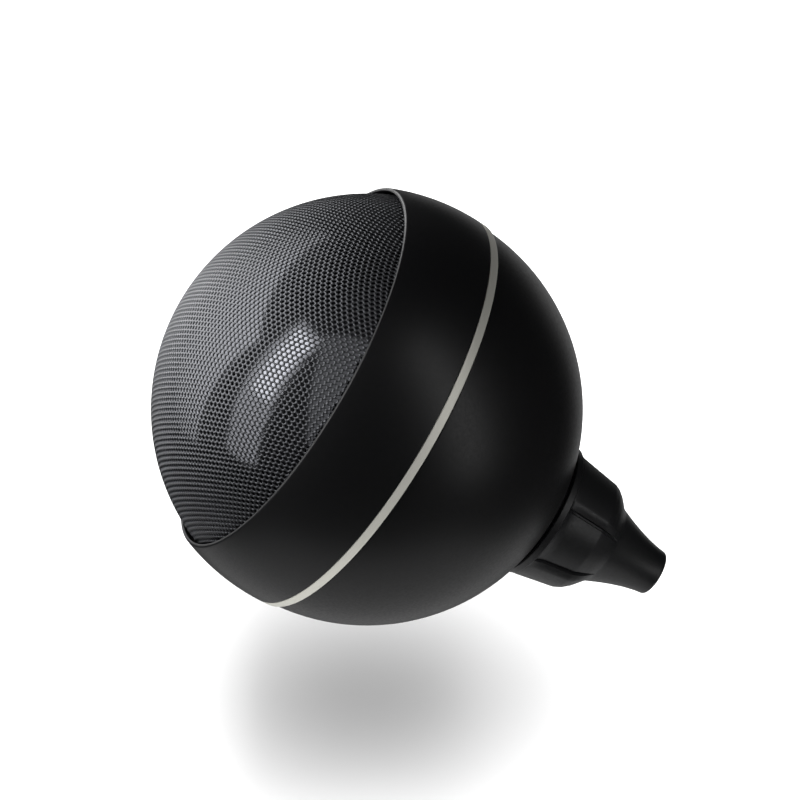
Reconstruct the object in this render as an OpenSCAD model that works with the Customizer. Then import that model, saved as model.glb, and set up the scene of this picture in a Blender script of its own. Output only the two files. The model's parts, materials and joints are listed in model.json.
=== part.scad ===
// Hand dust blower: a squeezable ball with a guarded, filtered rear intake and a screw-on nozzle.
// Every piece is drawn on the blower's own axis: z runs from the grille to the nozzle, and z = 0 is the
// ball's centre. placed() then lays the blower down on its bulb and on the edge of its nozzle tip.

/* [Ball] */
// Radius of the ball
ball_r = 36; // [35:0.5:38]
// Wall of the rubber bulb
bulb_wall = 3; // [2.5:0.1:3.2]

/* [Grille and inner dome] */
// Wall of the perforated grille
grille_wall = 0.3; // [0.2:0.1:0.5]
// Air gap between the grille and the inner dome
dome_gap = 0.1; // [0.1:0.1:0.2]
// Wall of the inner dome
dome_wall = 1.2; // [1:0.1:1.3]
// Number of intake windows between two screw bosses
windows_per_bay = 5; // [3:1:5]

/* [Band and trim ring] */
// Height of the band's lip above the ball's centre
lip_z = 15.1; // [14.6:0.1:15.6]
// How much the band's radius exceeds the ball's
band_swell = 0.5; // [0.4:0.1:0.7]
// How far the band's centre is moved towards the grille
band_shift = 1.5; // [1.3:0.1:1.7]
// Width of the trim ring
ring_w = 1.5; // [1.2:0.1:1.8]

/* [Intake] */
// Number of screws that hold the front together
screw_count = 8; // [6:1:8]
// Number of ports under the intake valve
port_count = 6; // [4:1:7]
// Radius of the intake valve's disc
intake_disc_r = 8; // [7.5:0.1:9]

/* [Neck and outlet] */
// Outer radius of the neck that the nozzle screws on
neck_r = 8; // [7.7:0.1:8.2]
// Radius of the hole that the outlet valve closes
outlet_seat_r = 3; // [2.5:0.1:3.5]

/* [Nozzle] */
// Length of the nozzle beyond the ball's surface
nozzle_reach = 22.6; // [21:0.1:28]
// Outer radius of the nozzle at its tip
tip_r = 4; // [3.5:0.1:4.5]
// Radius of the outlet bore
outlet_r = 1.6; // [1:0.1:2]
// Number of grip lugs
lug_count = 3; // [2:1:3]
// Width of one grip lug, in degrees
lug_angle = 63; // [50:1:70]

/* [Hidden] */
$fn = 96;

wide = 2 * ball_r;          // radius of the blocks that trim a shell
joint_gap = 0.05;           // gap between faces that meet across a joint
slip = 0.02;                // gap between a pin and its hole in one body
run_fit = 0.06;             // running clearance of a stem or thread

// Front: levels along the axis, all on the grille's side of the centre
ledge_top = -12;            // face of the band's ledge that the grille's hem sits on
ledge_bottom = -10;
hem_h = 0.5;
gasket_h = 0.5;
plate_top = ledge_bottom + gasket_h;
plate_h = 2.2;
plate_bottom = plate_top + plate_h;
spigot_end = 3;             // end of the spigot that the bulb's skirt goes over
skirt_seat = -3;            // step in the band that the skirt stops short of
bulb_start = ring_w + 0.15; // level at which the bulb's outside begins
band_end = -0.05;

// Front: radii
dome_outer = ball_r - grille_wall - dome_gap;
dome_inner = dome_outer - dome_wall;
lip_inner = ball_r + 0.55;
band_r = ball_r + band_swell;
band_bore = ball_r - 2.6;
skirt_bore = ball_r - 1.55;
skirt_outer = ball_r - 1.8;
skirt_inner = ball_r - 3.55;
spigot_outer = ball_r - 3.8;
spigot_wall = 1.8;
ledge_bore = ball_r - 5.6;
hem_outer = sqrt(ball_r ^ 2 - (ledge_top - hem_h) ^ 2);
hem_inner = hem_outer - 1.36;
screw_pitch = ball_r - 7.7;
boss_r = 1.8;
boss_top = -19;
screw_r = 0.9;
screw_head_r = 1.25;
screw_head_h = 1.2;
screw_end = -15;
window_w = 2.8;
window_low = -13.3;
window_high = -15;

// Filter
frame_outer = screw_pitch - boss_r - 0.3;
frame_wall = 1;
frame_h = 3.8;
spoke_h = 0.8;
spoke_drop = 0.2;           // step between the frame's rim, its spokes and its cup
pad_inner = 8.5;
cup_outer = pad_inner - 0.1;
cup_wall = 0.8;
cup_h = 5.5;

// Intake valve
port_r = 1.8;
port_pitch = 5;
stem_r = 1.5;
disc_h = 0.8;
clip_z = -13.9;
clip_h = 0.6;
clip_r = 2.6;
spring_wire = 0.4;
intake_coil_r = 2.3;

// Neck
pad_z = ball_r - 5;         // inner face of the bulb's thick neck pad
pad_r = 12.5;
neck_flange_in_r = 11.5;
neck_flange_in_h = 1.8;
neck_bottom = pad_z - neck_flange_in_h;
neck_top = ball_r + 7;
seat_top = neck_bottom + 2.3;
neck_bore = neck_r - 2;
skirt_ring_r = 10.9;
skirt_ring_top = ball_r - 0.4;
skirt_ring_bevel = 0.5;
nut_r = 9.8;
nut_h = 1.5;

// Outlet valve
poppet_r = 4.6;
poppet_h = 1.5;
poppet_stem_r = 1.1;
poppet_stem_h = 9;
cage_h = 4.3;
cage_rim_h = 1.8;
hub_r = 2.6;
cage_arm_w = 1.4;
outlet_coil_r = 1.9;

// Nozzle: profile levels and radii
tip_z = ball_r + nozzle_reach;
tip_edge = 0.4;             // rounding of the tip's rim
base_z = ball_r - 1.5;
base_r = 11.9;
base_h = 1.4;
base_bore_r = nut_r + 0.4;
base_bore_top = skirt_ring_top + nut_h + 0.3;
collar_bore_r = skirt_ring_r + 0.3;
collar_bore_top = skirt_ring_top + 0.2;
taper_z = ball_r + 11.8;    // where the grip ends and the free taper begins
taper_r = 7.1;
taper_power = 1.5;
taper_steps = 12;
lug_turn = 78;              // angle of the first lug about the axis
washer_h = 1;
washer_r = 7.6;
washer_bore = 5.5;
shoulder_z = neck_top + washer_h + 2 * joint_gap;
cone_end = ball_r + 16;
grip_low = base_z + base_h + 0.2;
grip_profile = [              // the grip between its lugs, from the base to the taper
    [base_r - 1, grip_low], [9.5, ball_r + 7.6], [8.5, ball_r + 9.7], [7.6, ball_r + 11.1]
];
lug_low = grip_low - 0.1;
lug_profile = [               // the outside of a lug, from the base to the point where it dies out
    [11.8, lug_low], [10.5, ball_r + 7.4], [10, ball_r + 8.6], [9.2, ball_r + 9.7], [7.7, ball_r + 11.1]
];

// The pose at rest: the ball and the rounded rim of the tip touch the table
lean = asin((ball_r - tip_edge) / norm([tip_z - tip_edge, tip_r - tip_edge]))
    - atan((tip_r - tip_edge) / (tip_z - tip_edge));
front_reach = (tip_z - tip_edge) * cos(lean) + (tip_r - tip_edge) * sin(lean) + tip_edge;
ball_x = (ball_r - front_reach) / 2;

// Radius of the nozzle's free taper at a level z
function taper(z) = tip_r + (taper_r - tip_r) * ((tip_z - z) / (tip_z - taper_z)) ^ taper_power;

// Points of a coil of round wire: one ring of points for each step along the helix
function coil_points(r, wire, low, high, turns, steps, sides) = [
    for (i = [0 : steps], k = [0 : sides - 1])
        let (
            a = 360 * turns * i / steps,
            b = 360 * k / sides,
            out = r + wire / 2 * cos(b),
            z = low + wire / 2 + (high - low - wire) * i / steps + wire / 2 * sin(b)
        )
        [out * cos(a), out * sin(a), z]
];

function coil_faces(steps, sides) = concat(
    [[for (k = [0 : sides - 1]) k]],
    [[for (k = [sides - 1 : -1 : 0]) steps * sides + k]],
    [
        for (i = [0 : steps - 1], k = [0 : sides - 1])
            let (next = (k + 1) % sides)
            [i * sides + k, (i + 1) * sides + k, (i + 1) * sides + next, i * sides + next]
    ]
);

module placed() {
    translate([ball_x, 0, ball_r]) rotate([0, 90 + lean, 0]) children();
}

// A round ring of rectangular section between two radii and two levels
module ring(outer, inner, low, high) {
    difference() {
        translate([0, 0, low]) cylinder(h = high - low, r = outer);
        translate([0, 0, low - 1]) cylinder(h = high - low + 2, r = inner);
    }
}

// The part of its children that lies between two levels
module slice(low, high) {
    intersection() {
        children();
        translate([0, 0, low]) cylinder(h = high - low, r = wide);
    }
}

module around(count, first = 0) {
    for (i = [0 : count - 1]) rotate([0, 0, first + 360 * i / count]) children();
}

module coil(r, wire, low, high, turns) {
    steps = turns * 16;
    sides = 8;
    polyhedron(coil_points(r, wire, low, high, turns, steps, sides), coil_faces(steps, sides));
}

// Rear: rubber bulb with a skirt under the trim ring and a thick pad round the neck
module bulb() {
    color("#1b1b1d") placed() difference() {
        union() {
            slice(bulb_start, wide) difference() {
                sphere(ball_r, $fn = 180);
                sphere(ball_r - bulb_wall, $fn = 180);
            }
            ring(skirt_outer, skirt_inner, skirt_seat + 0.2, bulb_start + 1.5);
            intersection() {
                translate([0, 0, pad_z]) cylinder(h = 4, r = pad_r);
                sphere(ball_r - bulb_wall / 2, $fn = 180);
            }
        }
        cylinder(h = wide, r = neck_r + slip);
    }
}

// Threaded neck, put in from inside the bulb; it holds the outlet valve and its seat
module neck_insert() {
    color("#b08d4a") placed() difference() {
        union() {
            translate([0, 0, neck_bottom]) cylinder(h = neck_flange_in_h, r = neck_flange_in_r);
            translate([0, 0, neck_bottom]) cylinder(h = neck_top - neck_bottom, r = neck_r);
        }
        translate([0, 0, neck_bottom - 1]) cylinder(h = wide, r = outlet_seat_r);
        translate([0, 0, seat_top]) cylinder(h = wide, r = neck_bore);
    }
}

// Collar that sits on the outside of the bulb round the neck, hidden in the nozzle's base
module neck_flange() {
    color("#151517") placed() difference() {
        rotate_extrude() polygon([
            [neck_r + slip, pad_z],
            [skirt_ring_r, pad_z],
            [skirt_ring_r, skirt_ring_top - skirt_ring_bevel],
            [skirt_ring_r - skirt_ring_bevel, skirt_ring_top],
            [neck_r + slip, skirt_ring_top]
        ]);
        sphere(ball_r, $fn = 180);
    }
}

// Ring nut that pulls the neck's flange, the bulb and the collar together
module neck_nut() {
    spanner_w = 2;
    color("#b08d4a") placed() difference() {
        ring(nut_r, neck_r + slip, skirt_ring_top, skirt_ring_top + nut_h);
        around(2) translate([neck_r + 1, -spanner_w / 2, skirt_ring_top + nut_h / 2])
            cube([nut_r, spanner_w, nut_h]);
    }
}

// Poppet that lets air out to the nozzle and not back
module outlet_valve() {
    color("#d8d8d2") placed() translate([0, 0, seat_top + joint_gap]) {
        cylinder(h = poppet_h, r = poppet_r);
        cylinder(h = poppet_stem_h, r = poppet_stem_r);
    }
}

module outlet_spring() {
    color("#c8c8c8") placed() coil(
        outlet_coil_r, spring_wire, seat_top + joint_gap + poppet_h, neck_top - cage_h, 5
    );
}

// Guide for the poppet's stem, pressed into the neck's mouth
module outlet_cage() {
    color("#d8d8d2") placed() difference() {
        union() {
            ring(neck_bore - slip, neck_bore - 1, neck_top - cage_rim_h, neck_top);
            translate([0, 0, neck_top - cage_h]) cylinder(h = cage_h, r = hub_r);
            around(3) translate([0, -cage_arm_w / 2, neck_top - cage_rim_h])
                cube([neck_bore - 0.5, cage_arm_w, cage_rim_h]);
        }
        translate([0, 0, neck_top - cage_h - 1]) cylinder(h = cage_h + 2, r = poppet_stem_r + run_fit);
    }
}

// Nozzle in one piece: threaded socket, grip with raised lugs, hollow taper and outlet bore
module nozzle() {
    base_edge = 0.2;
    color("#131315") placed() difference() {
        union() {
            rotate_extrude() polygon(concat(
                [[0, base_z], [base_r - base_edge, base_z], [base_r, base_z + base_edge]],
                [[base_r, base_z + base_h]],
                grip_profile,
                [
                    for (i = [0 : taper_steps])
                        let (z = taper_z + (tip_z - tip_edge - taper_z) * i / taper_steps)
                        [taper(z), z]
                ],
                [for (a = [30 : 30 : 90]) [
                    tip_r - tip_edge * (1 - cos(a)), tip_z - tip_edge * (1 - sin(a))
                ]],
                [[0, tip_z]]
            ));
            around(lug_count, lug_turn - lug_angle / 2) rotate_extrude(angle = lug_angle) polygon(concat(
                [[neck_r + 0.6, lug_low]],
                lug_profile,
                [[neck_r - 1, taper_z - 0.2], [neck_r - 1, shoulder_z + 1]]
            ));
        }
        translate([0, 0, base_z - 1]) cylinder(h = collar_bore_top - base_z + 1, r = collar_bore_r);
        translate([0, 0, base_z - 1]) cylinder(h = base_bore_top - base_z + 1, r = base_bore_r);
        translate([0, 0, base_z - 1]) cylinder(h = shoulder_z - base_z + 1, r = neck_r + run_fit);
        translate([0, 0, shoulder_z - joint_gap])
            cylinder(h = cone_end - shoulder_z + joint_gap, r1 = washer_bore, r2 = outlet_r);
        translate([0, 0, cone_end - 1]) cylinder(h = wide, r = outlet_r);
    }
}

// Flat sealing washer that stays in the nozzle's socket
module nozzle_washer() {
    color("#7a2e26") placed()
        ring(washer_r, washer_bore, neck_top + joint_gap, neck_top + joint_gap + washer_h);
}

// Metal hoop between the band and the bulb
module trim_ring() {
    color("#9c9b94") placed() difference() {
        slice(0, ring_w) translate([0, 0, -band_shift]) sphere(band_r, $fn = 180);
        translate([0, 0, -1]) cylinder(h = ring_w + 2, r = skirt_bore);
    }
}

// Band with a thin lip round the grille and an inner ledge
module front_band() {
    color("#19191b") placed() difference() {
        slice(-lip_z, band_end) translate([0, 0, -band_shift]) sphere(band_r, $fn = 180);
        slice(-lip_z - 1, ledge_top) sphere(lip_inner, $fn = 180);
        translate([0, 0, -wide]) cylinder(h = 2 * wide, r = ledge_bore);
        translate([0, 0, ledge_bottom]) cylinder(h = wide, r = band_bore);
        translate([0, 0, skirt_seat]) cylinder(h = wide, r = skirt_bore);
    }
}

// Grille: a thin domed sheet with a hem turned in at its foot
module grille_dome() {
    color("#5c5d62") placed() {
        slice(-wide, ledge_top - hem_h) difference() {
            sphere(ball_r, $fn = 180);
            sphere(ball_r - grille_wall, $fn = 180);
        }
        ring(hem_outer, hem_inner, ledge_top - hem_h, ledge_top);
    }
}

// Glossy dome right behind the grille: it stands on the hem, hides the filter and lets air in at its foot
module inner_dome() {
    bay = 360 / screw_count;
    color("#0c0c0e") placed() difference() {
        union() {
            slice(-wide, ledge_top - hem_h) difference() {
                sphere(dome_outer, $fn = 180);
                sphere(dome_inner, $fn = 180);
            }
            around(screw_count) translate([screw_pitch, 0, boss_top])
                cylinder(h = plate_top - boss_top, r = boss_r, $fn = 48);
        }
        around(screw_count) translate([screw_pitch, 0, screw_end - 0.5])
            cylinder(h = wide, r = screw_r + slip, $fn = 48);
        for (k = [1 : windows_per_bay])
            around(screw_count, bay * k / (windows_per_bay + 1))
                translate([screw_pitch, -window_w / 2, window_high])
                    cube([ball_r, window_w, window_low - window_high]);
    }
}

module plate_gasket() {
    color("#3a3a3c") placed() ring(band_bore - 0.2, ledge_bore + 0.1, ledge_bottom, plate_top);
}

// Plate that closes the bulb: ports, a guide for the intake valve and the spigot for the bulb's skirt
module valve_plate() {
    color("#2a2b2e") placed() difference() {
        union() {
            translate([0, 0, plate_top]) cylinder(h = plate_h, r = band_bore - 0.2);
            ring(spigot_outer, spigot_outer - spigot_wall, plate_bottom - 1, spigot_end);
        }
        translate([0, 0, plate_top - 1]) cylinder(h = plate_h + 2, r = stem_r + run_fit);
        around(port_count) translate([port_pitch, 0, plate_top - 1])
            cylinder(h = plate_h + 2, r = port_r, $fn = 48);
        around(screw_count) translate([screw_pitch, 0, plate_top - 1])
            cylinder(h = plate_h + 2, r = screw_r + slip, $fn = 48);
    }
}

// Screws that hold the inner dome, the grille's hem, the band and the plate in one stack
module plate_screws() {
    slot_w = 0.4;
    color("#b9b9b9") placed() around(screw_count) translate([screw_pitch, 0, 0]) difference() {
        union() {
            translate([0, 0, screw_end]) cylinder(h = plate_bottom - screw_end, r = screw_r, $fn = 48);
            translate([0, 0, plate_bottom]) cylinder(h = screw_head_h, r = screw_head_r, $fn = 48);
        }
        translate([-screw_head_r * 2, -slot_w / 2, plate_bottom + screw_head_h / 2])
            cube([screw_head_r * 4, slot_w, screw_head_h]);
    }
}

module filter_pad() {
    pad_h = frame_h - spoke_h - 2 * spoke_drop;
    color("#e4e2da") placed()
        ring(frame_outer - frame_wall - 0.1, pad_inner, plate_top - pad_h, plate_top);
}

// Cage that holds the filter pad down, with a closed cup over the valve
module filter_frame() {
    spoke_count = 6;
    spoke_w = 1.6;
    spoke_top = plate_top - frame_h + spoke_drop;
    cup_top = plate_top - cup_h;
    cup_end = spoke_top + spoke_h + spoke_drop;
    color("#2a2b2e") placed() {
        ring(frame_outer, frame_outer - frame_wall, plate_top - frame_h, plate_top);
        around(spoke_count, 180 / spoke_count) translate([cup_outer - cup_wall / 2, -spoke_w / 2, spoke_top])
            cube([frame_outer - frame_wall / 2 - cup_outer + cup_wall / 2, spoke_w, spoke_h]);
        rotate_extrude() polygon([
            [0, cup_top],
            [cup_outer, cup_top],
            [cup_outer, cup_end],
            [cup_outer - cup_wall, cup_end],
            [cup_outer - cup_wall, cup_top + cup_wall],
            [0, cup_top + cup_wall]
        ]);
    }
}

// Disc that lifts off the plate's ports when the bulb opens again
module intake_valve() {
    color("#8c3a30") placed() {
        translate([0, 0, plate_bottom + joint_gap]) cylinder(h = disc_h, r = intake_disc_r);
        translate([0, 0, clip_z]) cylinder(h = plate_bottom + joint_gap + disc_h - clip_z, r = stem_r);
    }
}

module intake_spring() {
    color("#c8c8c8") placed()
        coil(intake_coil_r, spring_wire, clip_z + clip_h, plate_top, 4);
}

module intake_clip() {
    color("#b9b9b9") placed() ring(clip_r, stem_r + slip, clip_z, clip_z + clip_h);
}

bulb();
neck_insert();
neck_flange();
neck_nut();
outlet_valve();
outlet_spring();
outlet_cage();
nozzle();
nozzle_washer();
trim_ring();
front_band();
grille_dome();
inner_dome();
plate_gasket();
valve_plate();
plate_screws();
filter_pad();
filter_frame();
intake_valve();
intake_spring();
intake_clip();
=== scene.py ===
import json
import math

import bmesh
import bpy
import numpy as np
from bpy.props import FloatProperty, FloatVectorProperty, IntProperty, PointerProperty
from mathutils import Matrix, Vector


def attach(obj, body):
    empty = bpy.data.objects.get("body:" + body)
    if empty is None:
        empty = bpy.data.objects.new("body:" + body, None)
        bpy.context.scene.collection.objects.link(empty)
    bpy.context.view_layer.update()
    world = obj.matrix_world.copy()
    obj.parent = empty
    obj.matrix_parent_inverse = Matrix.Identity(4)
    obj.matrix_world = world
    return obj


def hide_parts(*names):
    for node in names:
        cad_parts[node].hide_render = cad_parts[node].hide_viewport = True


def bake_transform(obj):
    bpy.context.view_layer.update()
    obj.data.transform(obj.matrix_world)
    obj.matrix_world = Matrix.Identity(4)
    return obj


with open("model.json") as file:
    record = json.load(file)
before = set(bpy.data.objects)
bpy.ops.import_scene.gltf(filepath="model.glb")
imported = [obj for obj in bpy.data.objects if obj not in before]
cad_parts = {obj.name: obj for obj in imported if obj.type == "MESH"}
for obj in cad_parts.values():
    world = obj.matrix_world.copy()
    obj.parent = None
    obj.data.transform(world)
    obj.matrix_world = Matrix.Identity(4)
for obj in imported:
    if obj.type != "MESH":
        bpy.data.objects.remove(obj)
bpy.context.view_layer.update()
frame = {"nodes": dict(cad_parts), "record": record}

bl_info = {
    "name": "Hand dust blower",
    "version": (1, 0, 0),
    "blender": (4, 5, 0),
    "location": "View3D > Sidebar > Blower",
    "description": "Builds the looks of a hand dust blower around its CAD frame",
    "category": "Object",
}

MM = 0.001
SIDES = 192  # faces round the ball, enough for a smooth outline

# The blower's own axis runs from the grille to the nozzle. Every piece is drawn on it in millimetres, with
# level 0 at the ball's centre, and PLACE then lays the piece down where the frame has it.
GRIP = next(m for m in frame["record"]["mounts"] if m["name"] == "hand_grip")
GRIP_LEVEL = 36 * MM  # the grip mount sits on the ball's surface, where the nozzle begins
AXIS = Vector(GRIP["axis"]).normalized()
CENTRE = Vector(GRIP["pos_m"]) - AXIS * GRIP_LEVEL
ACROSS = Vector((0, 1, 0))
DOWN = ACROSS.cross(AXIS)
PLACE = Matrix.Translation(CENTRE) @ Matrix((DOWN, ACROSS, AXIS)).transposed().to_4x4() @ Matrix.Scale(MM, 4)


def linear(code):
    """Turn an sRGB hex colour such as #1b1b1d into linear red, green and blue."""
    parts = [int(code[i:i + 2], 16) / 255 for i in (1, 3, 5)]
    return tuple(p / 12.92 if p <= 0.04045 else ((p + 0.055) / 1.055) ** 2.4 for p in parts)


def length(name, description, size):
    """A length, given in millimetres and kept in metres."""
    return FloatProperty(name=name, description=description, default=size * MM, subtype="DISTANCE",
                         unit="LENGTH", precision=5)


def angle(name, description, degrees):
    """An angle, given in degrees and kept in radians."""
    return FloatProperty(name=name, description=description, default=math.radians(degrees), subtype="ANGLE",
                         unit="ROTATION")


def colour(name, description, code):
    """A colour, given as an sRGB hex code and kept linear."""
    return FloatVectorProperty(name=name, description=description, default=linear(code), subtype="COLOR",
                               size=3, min=0, max=1)


# ---------------------------------------------------------------------------------------------------------
# Sizes and colours
# ---------------------------------------------------------------------------------------------------------


class BlowerBall(bpy.types.PropertyGroup):
    radius: length("Radius", "Radius of the ball", 36)
    wall: length("Wall", "Wall of the rubber bulb", 3)
    rubber: colour("Rubber", "Colour of the rubber bulb", "#070709")
    rubber_grain: length("Rubber grain", "Size of the moulded grain on the bulb", 0.45)


class BlowerGrille(bpy.types.PropertyGroup):
    wall: length("Wall", "Thickness of the perforated sheet", 0.3)
    pitch: length("Pitch", "Distance between two neighbouring holes at the dome's top", 0.93)
    hole: length("Hole", "Width of one hole from flat to flat", 0.64)
    turn: angle("Turn", "Direction of a row of holes about the axis", -10)
    field_edge: length("Field edge", "Level at which the holes end, measured from the ball's centre", 13.6)
    metal: colour("Metal", "Colour of the plated sheet", "#5a5b5e")
    dome_gap: length("Dome gap", "Air gap between the sheet and the inner dome", 0.1)
    dome_wall: length("Dome wall", "Wall of the inner dome", 1.2)
    dome: colour("Inner dome", "Colour of the inner dome", "#626367")


class BlowerBand(bpy.types.PropertyGroup):
    lip: length("Lip", "Height of the band's lip above the ball's centre", 15.1)
    swell: length("Swell", "How much the band's radius exceeds the ball's", 0.5)
    shift: length("Shift", "How far the band's centre is moved towards the grille", 1.5)
    paint: colour("Paint", "Colour of the soft-touch paint", "#070709")
    ring_width: length("Ring width", "Width of the trim ring", 1.5)
    ring: colour("Ring", "Colour of the trim ring", "#d8d7ce")


class BlowerNozzle(bpy.types.PropertyGroup):
    reach: length("Reach", "Length of the nozzle beyond the ball's surface", 22.6)
    tip: length("Tip", "Outer radius of the nozzle at its tip", 4)
    bore: length("Bore", "Radius of the outlet bore", 1.6)
    neck: length("Neck", "Outer radius of the threaded neck", 8)
    pitch: length("Thread pitch", "Distance that the nozzle moves in one turn", 3)
    lugs: IntProperty(name="Lugs", description="Number of grip lugs", default=3, min=2, max=4)
    lug_width: angle("Lug width", "Width of one grip lug about the axis", 63)
    plastic: colour("Plastic", "Colour of the moulded nozzle", "#0e0f11")


class BlowerInside(bpy.types.PropertyGroup):
    felt: colour("Felt", "Colour of the filter felt", "#dedbd0")
    brass: colour("Brass", "Colour of the turned brass", "#c09a54")
    silicone: colour("Silicone", "Colour of the silicone seals", "#7c2f24")
    acetal: colour("Acetal", "Colour of the outlet valve", "#e4e3dc")
    steel: colour("Steel", "Colour of springs and screws", "#b4b5b8")
    black: colour("Moulded black", "Colour of the black moulded inner parts", "#222325")


class BlowerStage(bpy.types.PropertyGroup):
    drop: length("Drop", "How far the floor lies below the blower", 22)
    floor: colour("Floor", "Colour of the floor", "#f2f2f2")
    elevation: angle("Elevation", "Angle of the camera above the horizon", 32.2)
    distance: FloatProperty(name="Distance", description="Distance of the camera", default=1.0,
                            subtype="DISTANCE", unit="LENGTH")


# ---------------------------------------------------------------------------------------------------------
# Shapes: outlines are lists of (radius, level) in millimetres
# ---------------------------------------------------------------------------------------------------------

LEDGE_TOP = -12  # face of the band's ledge that the grille's hem sits on
LEDGE_BOTTOM = -10
HEM_TOP = -12.5  # face of the hem that the inner dome stands on
STACK_END = -9.5  # face of the valve plate, under ledge and gasket
NECK_SEAT = 31  # inner face of the bulb's thick neck pad


def mm(value):
    """Turn metres into millimetres."""
    return value / MM


def arc(radius, low, high, steps, centre=0):
    """Points of a sphere's outline from one level to the other, evenly spaced in angle."""
    start = math.asin(max(-1, min(1, (low - centre) / radius)))
    end = math.asin(max(-1, min(1, (high - centre) / radius)))
    turns = [start + (end - start) * i / steps for i in range(steps + 1)]
    return [(max(0, radius * math.cos(t)), centre + radius * math.sin(t)) for t in turns]


def eased(before, corner, after, cut, steps=3):
    """The corner between two points, rounded off over a distance of cut along each side."""
    before, corner, after = Vector(before), Vector(corner), Vector(after)
    start = corner + (before - corner).normalized() * cut
    end = corner + (after - corner).normalized() * cut
    points = []
    for i in range(steps + 1):
        t = i / steps
        points.append(tuple(start * (1 - t) ** 2 + corner * 2 * t * (1 - t) + end * t ** 2))
    return points


def ring_outline(inner, outer, low, high, cut=0.1):
    """Outline of a flat ring with its four edges eased."""
    corners = [(inner, low), (outer, low), (outer, high), (inner, high)]
    points = []
    for i in range(4):
        points += eased(corners[i - 1], corners[i], corners[(i + 1) % 4], cut, 2)
    return points


def add_turned(bm, outline, angles=None, skipped=()):
    """Add a closed shell turned about the axis to bm. outline is a list, or a function of the angle that
    always gives the same number of points. skipped holds (point, side) pairs whose face is left out."""
    angles = angles or [2 * math.pi * i / SIDES for i in range(SIDES)]
    at = outline if callable(outline) else lambda turn: outline
    columns = []
    poles = {}
    for turn in angles:
        column = []
        for i, (radius, level) in enumerate(at(turn)):
            if radius < 1e-5:
                if i not in poles:
                    poles[i] = bm.verts.new((0, 0, level))
                column.append(poles[i])
            else:
                column.append(bm.verts.new((radius * math.cos(turn), radius * math.sin(turn), level)))
        columns.append(column)
    count = len(columns[0])
    for side, column in enumerate(columns):
        following = columns[(side + 1) % len(columns)]
        for i in range(count):
            j = (i + 1) % count
            corners = [column[i], column[j], following[j], following[i]]
            kept = [v for n, v in enumerate(corners) if v not in corners[:n]]
            if len(kept) > 2 and (i, side) not in skipped:
                bm.faces.new(kept)
    return columns


def to_mesh(bm, name):
    """Close bm into a mesh whose faces all point outwards."""
    bmesh.ops.recalc_face_normals(bm, faces=bm.faces)
    mesh = bpy.data.meshes.new(name)
    bm.to_mesh(mesh)
    bm.free()
    return mesh


def turned(name, outline, angles=None):
    bm = bmesh.new()
    add_turned(bm, outline, angles)
    return to_mesh(bm, name)


def put(name, mesh, material, nodes=(), body=None, crease=40):
    """Lay a mesh drawn on the blower's axis down in the frame and make it a finished piece."""
    mesh.transform(PLACE)
    mesh.polygons.foreach_set("use_smooth", [True] * len(mesh.polygons))
    mesh.set_sharp_from_angle(angle=math.radians(crease))
    mesh.materials.clear()
    mesh.materials.append(material)
    piece = bpy.data.objects.new(name, mesh)
    bpy.context.scene.collection.objects.link(piece)
    if nodes:
        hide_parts(*nodes)
    if body:
        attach(piece, body)
    return piece


# ---------------------------------------------------------------------------------------------------------
# Materials
# ---------------------------------------------------------------------------------------------------------


def add_node(tree, kind, inputs=None, **settings):
    """Add a node. inputs maps a socket's name or number to a value, or to the output that feeds it."""
    node = tree.nodes.new(kind)
    for setting, value in settings.items():
        setattr(node, setting, value)
    for key, value in (inputs or {}).items():
        if isinstance(value, bpy.types.NodeSocket):
            tree.links.new(value, node.inputs[key])
        else:
            node.inputs[key].default_value = value
    return node


def new_material(name, base, roughness, **shader):
    """Start a material with its Principled shader from a linear colour. Returns (material, tree, shader)."""
    material = bpy.data.materials.new(name)
    material.use_nodes = True
    tree = material.node_tree
    tree.nodes.clear()
    inputs = {"Base Color": (*base, 1), "Roughness": roughness}
    inputs.update({key.replace("_", " "): value for key, value in shader.items()})
    node = add_node(tree, "ShaderNodeBsdfPrincipled", inputs)
    add_node(tree, "ShaderNodeOutputMaterial", {"Surface": node.outputs[0]})
    return material, tree, node


def grain(tree, shader, size, depth, roughness=None, detail=2.0):
    """Cover a surface with an even grain of this size and depth, and let roughness follow it. The fine grains
    are drawn a few times coarser than the real ones, which would be too small to show."""
    place = add_node(tree, "ShaderNodeTexCoord").outputs["Object"]
    noise = add_node(tree, "ShaderNodeTexNoise", {"Vector": place, "Scale": 1 / size, "Detail": detail})
    bump = add_node(tree, "ShaderNodeBump", {"Height": noise.outputs[0], "Distance": depth, "Strength": 1.0})
    tree.links.new(bump.outputs[0], shader.inputs["Normal"])
    if roughness:
        spread = add_node(tree, "ShaderNodeMapRange", {
            "Value": noise.outputs[0], "From Min": 0.3, "From Max": 0.7,
            "To Min": roughness[0], "To Max": roughness[1],
        })
        tree.links.new(spread.outputs[0], shader.inputs["Roughness"])


def moulded_rubber(base, size):
    """Moulded silicone rubber: a dull black that spreads every highlight and lightens towards its outline."""
    material, tree, shader = new_material("Moulded silicone rubber", base, 0.4, IOR=1.45)
    grain(tree, shader, size, 0.008 * MM, (0.36, 0.45))
    return material


def soft_touch_paint(base):
    """Soft-touch paint on moulded ABS: black, with a broad satin highlight and almost no visible grain."""
    material, tree, shader = new_material("Soft-touch paint on ABS", base, 0.4, IOR=1.46)
    grain(tree, shader, 0.35 * MM, 0.005 * MM, (0.36, 0.44))
    return material


def nickel_sheet(base):
    """Perforated steel sheet with a dark nickel finish: grey webs that glint where a lamp faces them."""
    material, tree, shader = new_material("Dark nickel plated steel", base, 0.34, Metallic=1.0)
    grain(tree, shader, 0.2 * MM, 0.002 * MM, (0.3, 0.4))
    return material


def black_chrome(base):
    """Black chrome plated ABS: a dark mirror that shows each lamp clearly and is black between them."""
    return new_material("Black chrome plated ABS", base, 0.1, Metallic=1.0)[0]


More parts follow.
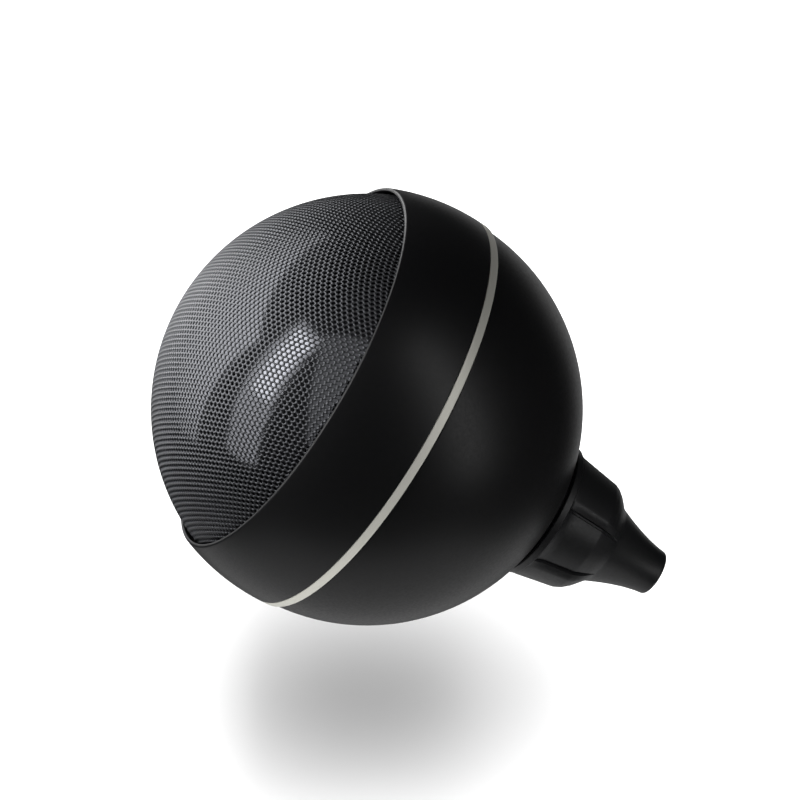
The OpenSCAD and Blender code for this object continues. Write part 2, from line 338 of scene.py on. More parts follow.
def satin_ring(base):
    """Satin anodised aluminium: an even warm grey, soft and without glints."""
    material, tree, shader = new_material("Satin anodised aluminium", base, 0.52, Metallic=0.6)
    grain(tree, shader, 0.12 * MM, 0.002 * MM, (0.48, 0.56))
    return material


def moulded_nylon(name, base, roughness=0.42):
    """Moulded nylon: black with a satin gloss from the tool's finely eroded surface."""
    material, tree, shader = new_material(name, base, roughness, IOR=1.53)
    grain(tree, shader, 0.4 * MM, 0.005 * MM, (roughness - 0.05, roughness + 0.05))
    return material


def turned_brass(base):
    """Turned brass: yellow metal with a fine, slightly uneven polish."""
    material, tree, shader = new_material("Turned brass", base, 0.28, Metallic=1.0)
    grain(tree, shader, 0.3 * MM, 0.003 * MM, (0.24, 0.34))
    return material


def spring_steel(base):
    """Drawn spring steel: bright, smooth grey wire."""
    return new_material("Drawn spring steel", base, 0.24, Metallic=1.0)[0]


def natural_acetal(base):
    """Machined natural acetal: milky white and faintly see-through at its edges."""
    return new_material("Natural acetal", base, 0.4, IOR=1.48, Subsurface_Weight=0.15,
                        Subsurface_Scale=2 * MM)[0]


def silicone_seal(base):
    """Moulded silicone seal: dull brick red."""
    return new_material("Moulded silicone seal", base, 0.55, IOR=1.41)[0]


def pressed_felt(base):
    """Pressed wool felt: off-white, matt, with fibres that show as a coarse cloudy nap."""
    material, tree, shader = new_material("Pressed wool felt", base, 0.95)
    shader.inputs["Sheen Weight"].default_value = 0.3
    grain(tree, shader, 0.6 * MM, 0.15 * MM, None, 6.0)
    return material


# ---------------------------------------------------------------------------------------------------------
# Geometry Nodes
# ---------------------------------------------------------------------------------------------------------


def new_tree(name, sizes):
    """Start a Geometry Nodes tree with one number input for each name in sizes and a material input."""
    tree = bpy.data.node_groups.new(name, "GeometryNodeTree")
    tree.interface.new_socket("Geometry", in_out="INPUT", socket_type="NodeSocketGeometry")
    tree.interface.new_socket("Geometry", in_out="OUTPUT", socket_type="NodeSocketGeometry")
    for size, kind in sizes.items():
        tree.interface.new_socket(size, in_out="INPUT", socket_type=kind)
    tree.interface.new_socket("Material", in_out="INPUT", socket_type="NodeSocketMaterial")
    return tree, add_node(tree, "NodeGroupInput").outputs


def end_tree(tree, geometry, given):
    """Close a tree: instances made real, the material set, and the result sent out."""
    real = add_node(tree, "GeometryNodeRealizeInstances", {0: geometry})
    done = add_node(tree, "GeometryNodeSetMaterial", {0: real.outputs[0], "Material": given["Material"]})
    add_node(tree, "NodeGroupOutput", {0: done.outputs[0]})


def grown(name, base_mesh, tree, values):
    """Run a tree on a mesh with these input values, and return the result as a plain mesh."""
    seed = bpy.data.objects.new(name, base_mesh)
    bpy.context.scene.collection.objects.link(seed)
    modifier = seed.modifiers.new(name, "NODES")
    modifier.node_group = tree
    for item in tree.interface.items_tree:
        if item.in_out == "INPUT" and item.name in values:
            modifier[item.identifier] = values[item.name]
    graph = bpy.context.evaluated_depsgraph_get()
    mesh = bpy.data.meshes.new_from_object(seed.evaluated_get(graph), depsgraph=graph)
    seed.modifiers.clear()
    bpy.data.objects.remove(seed)
    if not mesh.polygons:
        raise RuntimeError(f"{name}: the tree made no faces")
    return mesh


def perforation_tree():
    """Lays one tile on every point of a hexagonal lattice and wraps the flat sheet onto a sphere. The wrap
    keeps areas equal, so the holes keep their area and grow narrower towards the foot, as on a drawn dome."""
    tree, given = new_tree("Perforated dome", {
        "Radius": "NodeSocketFloat", "Pitch": "NodeSocketFloat", "Reach": "NodeSocketFloat",
        "Turn": "NodeSocketFloat", "Rows": "NodeSocketInt",
    })

    def calc(operation, a, b=0.0):
        return add_node(tree, "ShaderNodeMath", {0: a, 1: b}, operation=operation).outputs[0]

    row_gap = calc("MULTIPLY", given["Pitch"], math.sqrt(3) / 2)
    spans = calc("SUBTRACT", given["Rows"], 1.0)
    points = add_node(tree, "GeometryNodeMeshGrid", {
        "Size X": calc("MULTIPLY", spans, given["Pitch"]), "Size Y": calc("MULTIPLY", spans, row_gap),
        "Vertices X": given["Rows"], "Vertices Y": given["Rows"],
    }).outputs["Mesh"]

    # Every other row is moved along by half a pitch
    place = add_node(tree, "GeometryNodeInputPosition").outputs[0]
    flat = add_node(tree, "ShaderNodeSeparateXYZ", {0: place}).outputs
    row = calc("ROUND", calc("DIVIDE", flat[1], row_gap))
    odd = calc("FLOORED_MODULO", row, 2.0)
    shift = calc("MULTIPLY", calc("MULTIPLY", odd, 0.5), given["Pitch"])
    move = add_node(tree, "ShaderNodeCombineXYZ", {0: shift}).outputs[0]
    lattice = add_node(tree, "GeometryNodeSetPosition", {"Geometry": points, "Offset": move}).outputs[0]

    # Only the points inside the perforated field carry a tile
    place = add_node(tree, "GeometryNodeInputPosition").outputs[0]
    away = add_node(tree, "ShaderNodeVectorMath", {0: place}, operation="LENGTH").outputs["Value"]
    inside = calc("LESS_THAN", away, given["Reach"])
    tiles = add_node(tree, "GeometryNodeInstanceOnPoints", {
        "Points": lattice, "Selection": inside, "Instance": given["Geometry"],
    }).outputs[0]
    sheet = add_node(tree, "GeometryNodeRealizeInstances", {0: tiles}).outputs[0]
    sheet = add_node(tree, "GeometryNodeMergeByDistance", {
        "Geometry": sheet, "Distance": calc("MULTIPLY", given["Pitch"], 0.02),
    }).outputs[0]

    # Flat radius r becomes the polar angle 2 asin(r / 2R); depth below the sheet stays depth below the sphere
    place = add_node(tree, "GeometryNodeInputPosition").outputs[0]
    flat = add_node(tree, "ShaderNodeSeparateXYZ", {0: place}).outputs
    away = calc("SQRT", calc("ADD", calc("MULTIPLY", flat[0], flat[0]), calc("MULTIPLY", flat[1], flat[1])))
    share = calc("DIVIDE", away, calc("MULTIPLY", given["Radius"], 2.0))
    polar = calc("MULTIPLY", calc("ARCSINE", share), 2.0)
    bearing = calc("ADD", calc("ARCTAN2", flat[1], flat[0]), given["Turn"])
    reach = calc("SUBTRACT", given["Radius"], flat[2])
    out = calc("MULTIPLY", reach, calc("SINE", polar))
    wrapped = add_node(tree, "ShaderNodeCombineXYZ", {
        0: calc("MULTIPLY", out, calc("COSINE", bearing)),
        1: calc("MULTIPLY", out, calc("SINE", bearing)),
        2: calc("MULTIPLY", calc("MULTIPLY", reach, calc("COSINE", polar)), -1.0),
    }).outputs[0]
    dome = add_node(tree, "GeometryNodeSetPosition", {"Geometry": sheet, "Position": wrapped}).outputs[0]
    end_tree(tree, dome, given)
    return tree


def hole_tile(pitch, hole, wall):
    """One hole's share of the flat sheet: the wall of its hole, three of the six webs round it and two of the
    six corners between webs. Outer face at level 0, inner face at level wall."""
    corner = hole / math.sqrt(3)

    def around(reach, first):
        """Six points at one distance from the hole's centre; the first one stands at this angle."""
        turns = [math.radians(60 * n + first) for n in range(6)]
        return [Vector((reach * math.cos(turn), reach * math.sin(turn))) for turn in turns]

    steps = around(pitch, 0)
    rim = around(corner, 30)
    bm = bmesh.new()

    def face(points, flip):
        made = [bm.verts.new(point) for point in (reversed(points) if flip else points)]
        bm.faces.new(made)

    for level, flip in ((0, True), (wall, False)):
        for n in range(3):
            web = [rim[n - 1], steps[n] + rim[(n + 3) % 6], steps[n] + rim[(n + 2) % 6], rim[n]]
            face([(*p, level) for p in web], flip)
        for n in range(2):
            spot = [rim[n], steps[n] + rim[n + 2], steps[n + 1] + rim[(n + 4) % 6]]
            face([(*p, level) for p in spot], flip)
    for n in range(6):
        a, b = rim[n], rim[(n + 1) % 6]
        face([(*a, 0), (*b, 0), (*b, wall), (*a, wall)], True)
    bmesh.ops.remove_doubles(bm, verts=bm.verts, dist=pitch * 0.01)
    mesh = bpy.data.meshes.new("Hole tile")
    bm.to_mesh(mesh)
    bm.free()
    return mesh


def coil_tree():
    """Sweeps a round wire along a helix that stands on level 0."""
    tree, given = new_tree("Coil spring", {
        "Coil radius": "NodeSocketFloat", "Wire": "NodeSocketFloat", "Height": "NodeSocketFloat",
        "Turns": "NodeSocketFloat",
    })
    helix = add_node(tree, "GeometryNodeCurveSpiral", {
        "Resolution": 24, "Rotations": given["Turns"], "Start Radius": given["Coil radius"],
        "End Radius": given["Coil radius"], "Height": given["Height"],
    }).outputs[0]
    half = add_node(tree, "ShaderNodeMath", {0: given["Wire"], 1: 0.5}, operation="MULTIPLY").outputs[0]
    section = add_node(tree, "GeometryNodeCurvePrimitiveCircle", {
        "Resolution": 12, "Radius": half,
    }).outputs[0]
    wire = add_node(tree, "GeometryNodeCurveToMesh", {
        "Curve": helix, "Profile Curve": section, "Fill Caps": True,
    }).outputs[0]
    end_tree(tree, wire, given)
    return tree


# ---------------------------------------------------------------------------------------------------------
# Pieces
# ---------------------------------------------------------------------------------------------------------


class MESH_OT_blower_bulb(bpy.types.Operator):
    """Build the rubber bulb, with its skirt under the ring and its thick pad round the neck"""

    bl_idname = "mesh.blower_bulb"
    bl_label = "Bulb"

    def execute(self, context):
        ball = context.scene.blower_ball
        band = context.scene.blower_band
        neck = mm(context.scene.blower_nozzle.neck) + 0.02
        radius = mm(ball.radius)
        inner = radius - mm(ball.wall)
        start = mm(band.ring_width) + 0.15
        skirt_outer = radius - 1.8
        skirt_inner = radius - 3.55
        skirt_end = -2.8
        step = 3.15  # level at which the skirt's wall joins the bulb's
        edge = arc(radius, start, radius * 0.99, 90)
        outline = eased((skirt_outer, start), edge[0], edge[1], 0.16)
        outline += arc(radius, start + 0.3, math.sqrt(radius ** 2 - neck ** 2), 80)
        outline += [(neck, NECK_SEAT), (11.3, NECK_SEAT)]
        outline += arc(inner, NECK_SEAT - 0.1, step, 60)
        outline += [(skirt_inner, step)]
        outline += eased((skirt_inner, 3), (skirt_inner, skirt_end), (skirt_outer, skirt_end), 0.3)
        outline += eased((skirt_inner, skirt_end), (skirt_outer, skirt_end), (skirt_outer, 1), 0.3)
        outline += [(skirt_outer, start)]
        piece = put("bulb_rubber", turned("Bulb", outline),
                    moulded_rubber(ball.rubber, ball.rubber_grain), ["bulb"])
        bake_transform(piece)
        return {"FINISHED"}


class MESH_OT_blower_band(bpy.types.Operator):
    """Build the painted band with its lip round the grille, and the trim ring behind it"""

    bl_idname = "mesh.blower_band"
    bl_label = "Band and trim ring"

    def execute(self, context):
        band = context.scene.blower_band
        radius = mm(context.scene.blower_ball.radius)
        outer = radius + mm(band.swell)
        centre = -mm(band.shift)
        lip = -mm(band.lip)
        width = mm(band.ring_width)
        lip_inner = radius + 0.55
        skirt_bore = radius - 1.55
        skirt_seat = -3
        bore = radius - 2.6
        ledge_bore = radius - 5.6
        end = -0.05  # the band stops a hair short of the ring
        skin = arc(outer, lip + 0.3, -0.25, 40, centre)
        edge = arc(outer, lip, end, 60, centre)
        side = arc(lip_inner, LEDGE_TOP, lip, 12)
        outline = eased(side[-2], side[-1], edge[0], 0.2)
        outline += eased(side[-1], edge[0], edge[2], 0.24)
        outline += skin
        outline += eased(edge[-2], edge[-1], (skirt_bore, end), 0.12, 2)
        outline += [(skirt_bore, end), (skirt_bore, skirt_seat), (bore, skirt_seat), (bore, LEDGE_BOTTOM)]
        outline += [(ledge_bore, LEDGE_BOTTOM), (ledge_bore, LEDGE_TOP)]
        outline += side[:-1]
        put("band_shell", turned("Band", outline), soft_touch_paint(band.paint),
            ["front_band"], "front_cap")

        hoop = arc(outer, 0, width, 4, centre)
        outline = eased((skirt_bore, 0), hoop[0], hoop[1], 0.1, 2)
        outline += hoop[1:-1]
        outline += eased(hoop[-2], hoop[-1], (skirt_bore, width), 0.1, 2)
        outline += [(skirt_bore, width), (skirt_bore, 0)]
        put("trim_hoop", turned("Trim ring", outline), satin_ring(band.ring), ["trim_ring"],
            "front_cap")
        return {"FINISHED"}


class MESH_OT_blower_grille(bpy.types.Operator):
    """Build the perforated dome with its plain foot and its hem"""

    bl_idname = "mesh.blower_grille"
    bl_label = "Grille"

    def execute(self, context):
        grille = context.scene.blower_grille
        radius = mm(context.scene.blower_ball.radius)
        wall = mm(grille.wall)
        pitch = mm(grille.pitch)
        foot = mm(grille.field_edge)
        reach = 2 * radius * math.sin(math.acos(foot / radius) / 2)
        metal = nickel_sheet(grille.metal)
        mesh = grown("Perforated dome", hole_tile(pitch, mm(grille.hole), wall), perforation_tree(), {
            "Radius": radius, "Pitch": pitch, "Reach": reach, "Turn": grille.turn,
            "Rows": 2 * math.ceil(reach / (pitch * math.sqrt(3) / 2)) + 3, "Material": metal,
        })

        # The plain foot runs under the last row of holes, a hair inside the sheet's two faces
        hair = 0.02
        foot_top = -foot - 0.2
        hem_outer = 33.76
        hem_inner = 32.4
        outline = arc(radius - hair, foot_top, HEM_TOP, 6)
        outline += eased(outline[-1], (hem_outer, LEDGE_TOP), (hem_inner, LEDGE_TOP), 0.15, 2)
        outline += [(hem_inner, LEDGE_TOP), (hem_inner, HEM_TOP)]
        outline += arc(radius - wall + hair, HEM_TOP, foot_top, 6)
        bm = bmesh.new()
        bm.from_mesh(mesh)
        add_turned(bm, outline)
        bm.to_mesh(mesh)
        bm.free()
        put("perforated_grille", mesh, metal, ["grille_dome"], "front_cap", crease=100)
        return {"FINISHED"}


class MESH_OT_blower_inner_dome(bpy.types.Operator):
    """Build the glossy dome behind the grille, with the air windows at its foot and its screw bosses"""

    bl_idname = "mesh.blower_inner_dome"
    bl_label = "Inner dome"

    def execute(self, context):
        grille = context.scene.blower_grille
        outer = mm(context.scene.blower_ball.radius - grille.wall - grille.dome_gap)
        inner = outer - mm(grille.dome_wall)
        bosses = 8
        bays = 6  # one boss and five windows
        window_high = -15
        window_low = -13.3
        half = math.degrees(math.asin(1.4 / 30.5))  # half a window's width, seen from the axis
        edges = []
        opens = []
        for n in range(bosses * bays):
            middle = 360 / (bosses * bays) * n
            if n % bays:
                opens.append(len(edges))
                edges += [middle - half, middle + half]
            else:
                edges += [middle - half, middle, middle + half]
        angles = [math.radians(e) for e in edges]

        skin = arc(outer, -outer, window_high, 56)
        lining = arc(inner, window_high, -inner, 24)
        outline = skin + arc(outer, window_low, HEM_TOP, 3) + arc(inner, HEM_TOP, window_low, 3) + lining
        bm = bmesh.new()
        outer_row = len(skin) - 1
        inner_row = len(outline) - len(lining) - 1
        windows = {(row, side) for row in (outer_row, inner_row) for side in opens}
        columns = add_turned(bm, outline, angles, windows)
        for side in opens:
            a, b = columns[side], columns[(side + 1) % len(columns)]
            near, far = (outer_row, outer_row + 1), (inner_row, inner_row + 1)
            bm.faces.new([a[near[0]], b[near[0]], b[far[1]], a[far[1]]])
            bm.faces.new([a[near[1]], a[far[0]], b[far[0]], b[near[1]]])
            bm.faces.new([a[near[0]], a[far[1]], a[far[0]], a[near[1]]])
            bm.faces.new([b[near[0]], b[near[1]], b[far[0]], b[far[1]]])

        boss_r = 1.8
        boss_top = -19
        hole_r = 0.92
        hole_end = -15.5
        boss = [(0, boss_top), (boss_r, boss_top), (boss_r, STACK_END), (hole_r, STACK_END),
                (hole_r, hole_end), (0, hole_end)]
        for n in range(bosses):
            place = Matrix.Rotation(math.radians(360 / bosses * n), 4, "Z") @ Matrix.Translation((28.3, 0, 0))
            known = set(bm.verts)
            add_turned(bm, boss, [2 * math.pi * i / 32 for i in range(32)])
            bmesh.ops.transform(bm, matrix=place, verts=[v for v in bm.verts if v not in known])
        put("glossy_dome", to_mesh(bm, "Inner dome"), black_chrome(grille.dome),
            ["inner_dome"], "front_cap")
        return {"FINISHED"}


class MESH_OT_blower_nozzle(bpy.types.Operator):
    """Build the nozzle in one piece: base, grip with raised lugs, taper, outlet bore and threaded socket"""

    bl_idname = "mesh.blower_nozzle"
    bl_label = "Nozzle"

    def execute(self, context):
        nozzle = context.scene.blower_nozzle
        ball = mm(context.scene.blower_ball.radius)
        tip = mm(nozzle.tip)
        top = ball + mm(nozzle.reach)
        bore = mm(nozzle.bore)
        socket = mm(nozzle.neck) + 0.06
        pitch = mm(nozzle.pitch)
        half = math.degrees(nozzle.lug_width) / 2
        first_lug = 78  # angle of the first lug about the axis
        middles = [first_lug + 360 * n / nozzle.lugs for n in range(nozzle.lugs)]
        per_mm = 5.4  # degrees about the axis that cover one millimetre of the grip
        rounding = 0.4  # of the tip's rim

        # Levels beyond the ball and the radii of the two surfaces there: between the lugs, and on a lug
        levels = [0.1, 0.9, 1.7, 7.6, 8.6, 9.7, 10.4, 11.1, 11.8]
        between = [11.3, 10.85, 10.6, 9.5, 9.05, 8.5, 8.1, 7.6, 7.1]
        on_lug = [11.75, 11.65, 11.5, 10.5, 10.05, 9.2, 8.5, 7.75, 7.1]
        # Across a lug's edge, in millimetres: a shallow groove, a short wall, a chamfer, then the lug's face
        run = [-0.5, -0.3, 0, 0.12, 1.15, 1.4]
        share = [0, -0.3, -0.3, 0.42, 0.96, 1]

        angles = set(float(a) for a in range(0, 360, 3))
        for middle in middles:
            for side in (-1, 1):
                edge = middle + side * half
                angles = {a for a in angles if abs((a - edge + 180) % 360 - 180) > 9 or
                          (a - edge + 180) % 360 * side > 180 * side + 1}
                angles |= {(edge - side * inside * per_mm) % 360 for inside in (*run, 0.6, 1.7)}
                angles.add((edge + side * 0.6) % 360)
        angles = [math.radians(a) for a in sorted(angles)]

        def outline(turn):
            degrees = math.degrees(turn)
            inwards = max(half - abs((degrees - middle + 180) % 360 - 180) for middle in middles) / per_mm
            raised = float(np.interp(inwards, run, share))
            points = [(11.2, ball - 1.5), (11.7, ball - 1.5), (11.9, ball - 1.3)]
            points += [(11.9, ball - 0.25), (11.75, ball - 0.1)]
            for level in [0.1 + 0.26 * i for i in range(45)]:
                low = float(np.interp(level, levels, between))
                high = float(np.interp(level, levels, on_lug))
                points.append((low + (high - low) * raised, ball + level))
            for i in range(25):
                level = 11.8 + (top - ball - rounding - 11.8) * i / 24
                points.append((tip + 3.1 * ((top - ball - level) / 10.8) ** 1.5, ball + level))
            for a in (22, 45, 67, 90):
                round_x = rounding * (1 - math.cos(math.radians(a)))
                round_z = rounding * (1 - math.sin(math.radians(a)))
                points.append((tip - round_x, top - round_z))
            points += [(bore + 0.35, top), (bore + 0.1, top - 0.1), (bore, top - 0.35), (bore, ball + 16)]
            points += [(5.5, 44.05), (5.5, 44.1), (socket, 44.1), (socket, 43.4)]
            for i in range(43):
                level = 43.3 - 0.125 * i
                points.append((socket + 0.45 * thread_share(level / pitch - turn / (2 * math.pi)), level))
            points += [(socket, 37.95), (socket + 0.1, ball + 1.4), (10.2, ball + 1.4)]
            points += [(10.2, ball - 0.2), (11.2, ball - 0.2)]
            return points

        put("nozzle_body", turned("Nozzle", outline, angles),
            moulded_nylon("Moulded black nylon", nozzle.plastic),
            ["nozzle"], "nozzle_body", crease=28)

        # Collar on the ball, inside the nozzle's base
        neck = mm(nozzle.neck) + 0.02
        collar = 10.9
        collar_top = ball - 0.4
        outline = arc(ball, math.sqrt(ball ** 2 - neck ** 2), math.sqrt(ball ** 2 - collar ** 2), 8)
        outline += eased((collar, 34.4), (collar, collar_top), (10, collar_top), 0.5, 4)
        outline += [(neck, collar_top)]
        put("neck_collar", turned("Neck collar", outline),
            moulded_nylon("Moulded nylon collar", nozzle.plastic, 0.46),
            ["neck_flange"], "root")
        return {"FINISHED"}


def thread_share(phase):
    """Depth of a rounded thread at a phase of its pitch, from 0 on a land to 1 in the groove."""
    return float(np.interp(phase % 1, [0, 0.3, 0.45, 0.65, 0.8, 1], [0, 0, 1, 1, 0, 0]))


class MESH_OT_blower_neck(bpy.types.Operator):
    """Build the threaded brass neck that holds the outlet valve"""

    bl_idname = "mesh.blower_neck"
    bl_label = "Threaded neck"

    def execute(self, context):
        nozzle = context.scene.blower_nozzle
        neck = mm(nozzle.neck)
        pitch = mm(nozzle.pitch)
        bore = neck - 2
        seat = 3  # radius of the hole that the outlet valve closes
        flange = 11.5
        low, high = 29.2, 43

        def outline(turn):
            points = eased((seat, low), (flange, low), (flange, NECK_SEAT), 0.25, 2)
            points += eased((flange, low), (flange, NECK_SEAT), (9, NECK_SEAT), 0.25, 2)
            points += [(neck, NECK_SEAT), (neck, 37.1)]
            for i in range(41):
                level = 37.4 + 0.125 * i
                points.append((neck - 0.45 * thread_share(level / pitch - turn / (2 * math.pi)), level))
            points += eased((neck, 42.5), (neck, high), (bore, high), 0.3, 2)
            points += [(bore, high), (bore, 31.5), (seat, 31.5), (seat, low)]
            return points

        put("threaded_neck", turned("Neck", outline, [2 * math.pi * i / 96 for i in range(96)]),
            turned_brass(context.scene.blower_inside.brass), ["neck_insert"], "root", crease=28)
        return {"FINISHED"}


class MESH_OT_blower_springs(bpy.types.Operator):
    """Build the two valve springs"""

    bl_idname = "mesh.blower_springs"
    bl_label = "Valve springs"

    def execute(self, context):
        steel = spring_steel(context.scene.blower_inside.steel)
        tree = coil_tree()
        wire = 0.4
        # Name, body at its lower end, body at its upper end, coil radius, lower level, upper level, turns
        for name, poppet, body, coil, low, high, turns in (
            ("intake_spring", "intake_poppet", "front_cap", 2.3, -13.3, -9.5, 4),
            ("outlet_spring", "outlet_poppet", "root", 1.9, 33.05, 38.7, 5),
        ):
            mesh = grown(name, bpy.data.meshes.new(name), tree, {
                "Coil radius": coil, "Wire": wire, "Height": high - low - wire, "Turns": float(turns),
                "Material": steel,
            })
            mesh.transform(Matrix.Translation((0, 0, low + wire / 2)))
            piece = put(name + "_wire", mesh, steel, [name])
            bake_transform(piece)
        return {"FINISHED"}


class MESH_OT_blower_felt(bpy.types.Operator):
    """Build the felt ring that cleans the intake air"""

    bl_idname = "mesh.blower_felt"
    bl_label = "Filter felt"

    def execute(self, context):
        outline = ring_outline(8.5, 25.1, -12.1, STACK_END, 0.6)
        put("filter_felt", turned("Filter felt", outline), pressed_felt(context.scene.blower_inside.felt),
            ["filter_pad"], "front_cap")
        return {"FINISHED"}


class MESH_OT_blower_inner_parts(bpy.types.Operator):
    """Give the frame's own inner parts their materials"""

    bl_idname = "mesh.blower_inner_parts"
    bl_label = "Inner parts"

    def execute(self, context):
        inside = context.scene.blower_inside
        moulded = moulded_nylon("Moulded glass-filled nylon", inside.black, 0.5)
        acetal = natural_acetal(inside.acetal)
        silicone = silicone_seal(inside.silicone)
        steel = spring_steel(inside.steel)
        brass = turned_brass(inside.brass)
        finishes = {
            "neck_nut": brass, "outlet_valve": acetal, "outlet_cage": acetal, "nozzle_washer": silicone,
            "plate_gasket": silicone, "valve_plate": moulded, "filter_frame": moulded,
            "intake_valve": silicone, "intake_clip": steel, "plate_screws": steel,
        }
        for node, material in finishes.items():
            mesh = frame["nodes"][node].data
            mesh.materials.clear()
            mesh.materials.append(material)
        return {"FINISHED"}


# ---------------------------------------------------------------------------------------------------------
# Stage
# ---------------------------------------------------------------------------------------------------------


def add_lamp(name, bearing, height, distance, width, tall, power):
    """Hang a soft box that faces the ball. bearing is 0 on the camera's side and 90 on the right."""
    a, e = math.radians(bearing), math.radians(height)
    out = Vector((math.sin(a) * math.cos(e), -math.cos(a) * math.cos(e), math.sin(e)))
    light = bpy.data.lights.new(name, "AREA")
    light.shape = "RECTANGLE"
    light.size = width
    light.size_y = tall
    light.energy = power
    lamp = bpy.data.objects.new(name, light)
    lamp.location = CENTRE + out * distance
    lamp.rotation_mode = "QUATERNION"
    lamp.rotation_quaternion = out.to_track_quat("Z", "Y")
    bpy.context.scene.collection.objects.link(lamp)
    return lamp


def collect(name, pieces, state):
    """Collection of pieces that a lamp takes in or leaves out."""
    group = bpy.data.collections.new(name)
    for piece in pieces:
        group.objects.link(piece)
    for member in group.collection_objects:
        member.light_linking.link_state = state
    return group


def box_power(radiance, width, tall):
    """Power of an area lamp whose face has this radiance."""
    return radiance * width * tall * math.pi


class SCENE_OT_blower_stage(bpy.types.Operator):
    """Set up the floor, the soft boxes and the camera"""

    bl_idname = "scene.blower_stage"
    bl_label = "Stage"

    def execute(self, context):
        stage = context.scene.blower_stage
        scene = context.scene

        # A plain matt floor, two metres to each side
        half = 2.0
        mesh = bpy.data.meshes.new("Floor")
        corners = [(-half, -half, -stage.drop), (half, -half, -stage.drop), (half, half, -stage.drop),
                   (-half, half, -stage.drop)]
        mesh.from_pydata(corners, [], [(0, 1, 2, 3)])
        mesh.materials.append(new_material("Matt white paper", stage.floor, 0.9)[0])
        floor = bpy.data.objects.new("floor", mesh)
        scene.collection.objects.link(floor)

        # Lamps: bearing, height, distance, width, height of the box, radiance of its face, and what it
        # lights: the grille with the dome behind it, the rest of the skin, the whole object, or the floor
        sheet = bpy.data.objects["perforated_grille"]
        front = [sheet, bpy.data.objects["glossy_dome"]]
        for name, bearing, height, distance, width, tall, radiance, lit in (
            ("strip_left", -66, 26, 0.6, 0.22, 0.85, 2.2, "dome"),
            ("strip_left_core", -65, 40, 0.58, 0.13, 0.36, 3.6, "dome"),
            ("wide_left", -128, 12, 0.8, 1.05, 1.0, 3.4, "dome"),
            ("front_fill", -15, 40, 0.8, 0.5, 0.9, 0.5, "dome"),
            ("strip_left_soft", -66, 30, 0.6, 0.25, 0.72, 5, "skin"),
            ("wide_left_soft", -132, 18, 0.8, 1.1, 0.72, 3, "skin"),
            ("strip_right", 53, 22, 0.6, 0.14, 0.8, 2, "object"),
            ("glow_below", 0, -88, 0.6, 1, 1, 0.5, "object"),
            ("rim_behind", 160, -24, 0.6, 0.35, 0.4, 0.5, "object"),
            ("overhead", 0, 90, 0.8, 0.6, 2.4, 7.5, "floor"),
        ):
            lamp = add_lamp(name, bearing, height, distance, width, tall, box_power(radiance, width, tall))
            lit_pieces, state = {
                "floor": ([floor], "INCLUDE"), "dome": (front, "INCLUDE"),
                "skin": ([floor, *front], "EXCLUDE"), "object": ([floor], "EXCLUDE"),
            }[lit]
            lamp.light_linking.receiver_collection = collect(name + "_receivers", lit_pieces, state)
            if lit in ("dome", "object"):
                lamp.light_linking.blocker_collection = collect(name + "_blockers", [sheet, floor], "EXCLUDE")
        floor.visible_glossy = False  # the lamp below the blower stands for the floor's reflection

        # Dim room, with a white backdrop behind the floor's edge
        world = bpy.data.worlds.new("Room")
        world.use_nodes = True
        tree = world.node_tree
        tree.nodes.clear()
        seen = add_node(tree, "ShaderNodeLightPath").outputs["Is Camera Ray"]
        room = add_node(tree, "ShaderNodeBackground", {"Color": (0.03, 0.03, 0.031, 1)}).outputs[0]
        backdrop = add_node(tree, "ShaderNodeBackground", {"Color": (1, 1, 1, 1)}).outputs[0]
        both = add_node(tree, "ShaderNodeMixShader", {0: seen, 1: room, 2: backdrop}).outputs[0]
        add_node(tree, "ShaderNodeOutputWorld", {0: both})
        scene.world = world
        scene.view_settings.view_transform = "Standard"

        # Camera: the aim is a little to the left of the box's middle and above the ball's centre
        lens = bpy.data.cameras.new("Camera")
        lens.sensor_width = 36
        lens.lens = 270
        lens.clip_start = 0.05
        camera = bpy.data.objects.new("Camera", lens)
        back = Vector((0, -math.cos(stage.elevation), math.sin(stage.elevation)))
        upright = Vector((0, math.sin(stage.elevation), math.cos(stage.elevation)))
        aim = Vector((-1.8 * MM, 0, 36 * MM)) + upright * 1.57 * MM
        camera.location = aim + back * stage.distance
        camera.rotation_euler = (math.pi / 2 - stage.elevation, 0, 0)
        scene.collection.objects.link(camera)
        scene.camera = camera
        return {"FINISHED"}


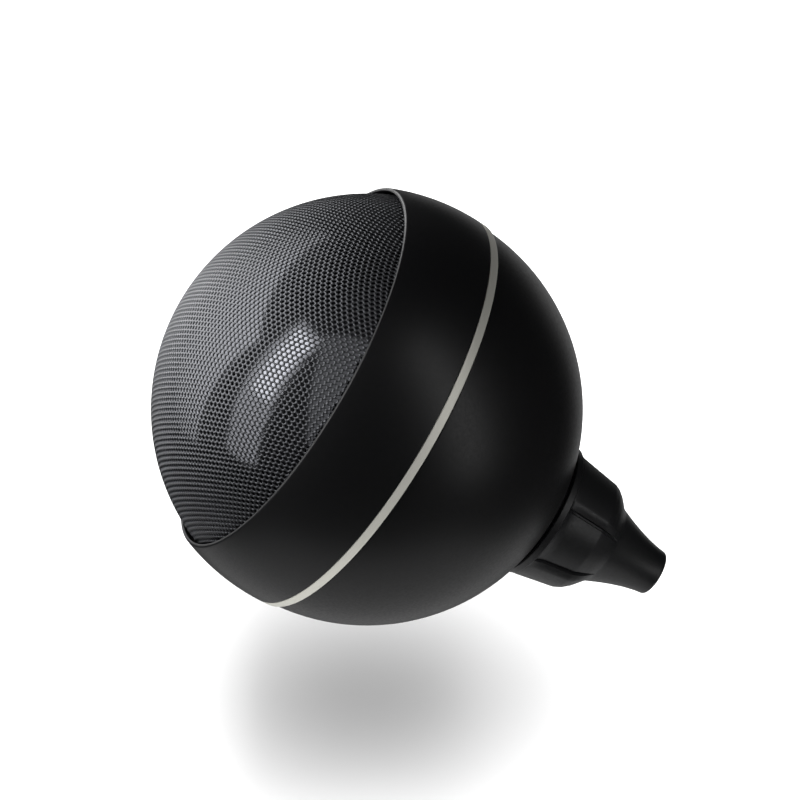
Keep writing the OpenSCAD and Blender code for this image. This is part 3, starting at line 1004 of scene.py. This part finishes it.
class VIEW3D_PT_blower(bpy.types.Panel):
    """Sizes, colours and build steps of the dust blower"""

    bl_idname = "VIEW3D_PT_blower"
    bl_label = "Dust blower"
    bl_space_type = "VIEW_3D"
    bl_region_type = "UI"
    bl_category = "Blower"

    def draw(self, context):
        for title, group in GROUPS.items():
            box = self.layout.box()
            box.label(text=title)
            settings = getattr(context.scene, group[0])
            for name in group[1].__annotations__:
                box.prop(settings, name)
        column = self.layout.column(align=True)
        for operator in OPERATORS:
            column.operator(operator.bl_idname)


GROUPS = {
    "Ball": ("blower_ball", BlowerBall),
    "Grille": ("blower_grille", BlowerGrille),
    "Band": ("blower_band", BlowerBand),
    "Nozzle": ("blower_nozzle", BlowerNozzle),
    "Inside": ("blower_inside", BlowerInside),
    "Stage": ("blower_stage", BlowerStage),
}

OPERATORS = (
    MESH_OT_blower_bulb,
    MESH_OT_blower_band,
    MESH_OT_blower_grille,
    MESH_OT_blower_inner_dome,
    MESH_OT_blower_nozzle,
    MESH_OT_blower_neck,
    MESH_OT_blower_springs,
    MESH_OT_blower_felt,
    MESH_OT_blower_inner_parts,
    SCENE_OT_blower_stage,
)


def register():
    for attribute, group in GROUPS.values():
        bpy.utils.register_class(group)
        setattr(bpy.types.Scene, attribute, PointerProperty(type=group))
    for operator in OPERATORS:
        bpy.utils.register_class(operator)
    bpy.utils.register_class(VIEW3D_PT_blower)


def unregister():
    bpy.utils.unregister_class(VIEW3D_PT_blower)
    for operator in reversed(OPERATORS):
        bpy.utils.unregister_class(operator)
    for attribute, group in GROUPS.values():
        delattr(bpy.types.Scene, attribute)
        bpy.utils.unregister_class(group)


def main():
    register()
    bpy.ops.mesh.blower_bulb()
    bpy.ops.mesh.blower_band()
    bpy.ops.mesh.blower_grille()
    bpy.ops.mesh.blower_inner_dome()
    bpy.ops.mesh.blower_nozzle()
    bpy.ops.mesh.blower_neck()
    bpy.ops.mesh.blower_springs()
    bpy.ops.mesh.blower_felt()
    bpy.ops.mesh.blower_inner_parts()
    bpy.ops.scene.blower_stage()


if __name__ == "__main__":
    main()
